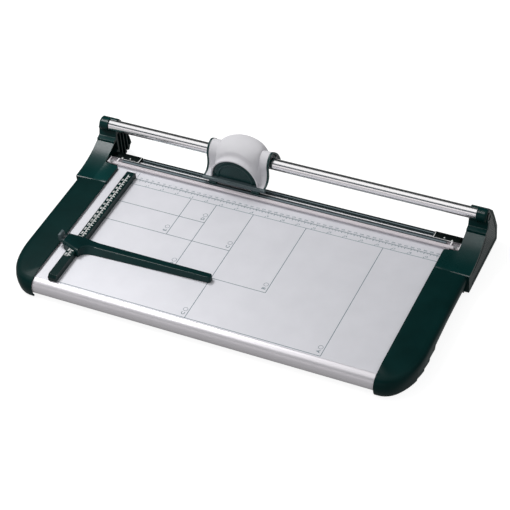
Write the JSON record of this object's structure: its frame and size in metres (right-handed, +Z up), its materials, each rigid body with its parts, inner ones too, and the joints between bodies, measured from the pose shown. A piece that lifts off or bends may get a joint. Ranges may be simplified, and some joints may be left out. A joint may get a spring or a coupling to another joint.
{
  "type": "rotary paper trimmer",
  "caption": "Desktop rotary paper trimmer: silver table with rounded front edge, black side mouldings, chrome rail, sliding cutter head, clear pressure strip and sliding paper stop.",
  "frame": {"origin": "middle of the footprint on the desk, under the feet", "axes": "+X along the rail to the user's right, +Y from the user towards the rail, +Z up"},
  "size_m": [0.648, 0.362, 0.1055],
  "materials": {
    "table_paint": "satin pale silver, printed lines",
    "profile_aluminium": "satin anodised",
    "dark_anodised": "dark anodised",
    "strut_steel": "grey paint",
    "bed_grey": "satin",
    "blade_steel": "ground",
    "black_plastic": "satin, faintly teal black",
    "dark_plastic": "satin",
    "zinc_steel": "zinc plated",
    "spring_steel": "bright wire",
    "foot_rubber": "matte",
    "rail_chrome": "polished",
    "plug_brass": "turned",
    "clear_plastic": "clear, polished",
    "stiffener_grey": "satin grey",
    "ivory_plastic": "natural",
    "cover_silver": "satin silver lacquer"
  },
  "bodies": {
    "base": {"table_plate": "table_paint", "front_profile": "profile_aluminium", "rear_beam": "dark_anodised", "table_struts": "strut_steel", "bed_strip": "bed_grey", "counter_blade": "blade_steel", "left_end_block": "black_plastic", "right_end_block": "black_plastic", "block_screws": "zinc_steel", "left_wing": "black_plastic", "right_wing": "black_plastic", "wing_screws": "zinc_steel", "left_tower": "black_plastic", "right_tower": "black_plastic", "tower_screws": "zinc_steel", "rubber_feet": "foot_rubber", "guide_rail": "rail_chrome", "rail_plugs": "plug_brass", "rail_screws": "zinc_steel", "side_guide": "black_plastic", "guide_screws": "zinc_steel", "strip_pins": "zinc_steel", "lift_springs": "spring_steel"},
    "strip": {"pressure_strip": "clear_plastic", "strip_stiffener": "stiffener_grey"},
    "carriage": {"carriage_frame": "dark_plastic", "rail_bushes": "ivory_plastic", "press_pins": "zinc_steel", "press_springs": "spring_steel"},
    "head": {"head_core": "dark_plastic", "head_cover": "cover_silver", "left_end_ring": "black_plastic", "right_end_ring": "black_plastic", "blade_guard": "black_plastic", "head_foot": "dark_plastic", "presser_skids": "ivory_plastic", "head_screws": "zinc_steel", "blade_axle": "zinc_steel", "axle_nut": "zinc_steel"},
    "blade": {"blade": "blade_steel", "blade_hub": "dark_plastic"},
    "stop": {"stop_arm": "black_plastic", "brake_pad": "foot_rubber", "lever_pin": "zinc_steel", "lever_spring": "spring_steel"},
    "lever": {"release_lever": "black_plastic"}
  },
  "joints": [
    {"name": "head_slide", "type": "slide", "parent": "base", "child": "carriage", "axis": [1, 0, 0], "range_m": [-0.163, 0.313]},
    {"name": "head_press", "type": "slide", "parent": "carriage", "child": "head", "axis": [0, 0, -1], "range_m": [0, 0.003], "stiffness_N_per_m": 2000, "springref_m": -0.003, "deforming": ["press_springs"]},
    {"name": "blade_spin", "type": "hinge", "parent": "head", "child": "blade", "pos_m": [-0.075, 0.1356, 0.0525], "axis": [0, 1, 0], "continuous": true},
    {"name": "strip_press", "type": "slide", "parent": "base", "child": "strip", "axis": [0, 0, -1], "range_m": [0, 0.003], "stiffness_N_per_m": 600, "springref_m": -0.003, "deforming": ["lift_springs"]},
    {"name": "stop_slide", "type": "slide", "parent": "base", "child": "stop", "axis": [0, 1, 0], "range_m": [-0.05, 0.15]},
    {"name": "lever_pinch", "type": "hinge", "parent": "stop", "child": "lever", "pos_m": [-0.2635, -0.084, 0.039], "axis": [0, 1, 0], "range_deg": [0, 12], "stiffness_Nm_per_rad": 0.05, "springref_deg": -11.46, "deforming": ["lever_spring"]}
  ],
  "couplings": [
    {"joint": "strip_press", "follows": "head_press", "ratio": 1}
  ]
}
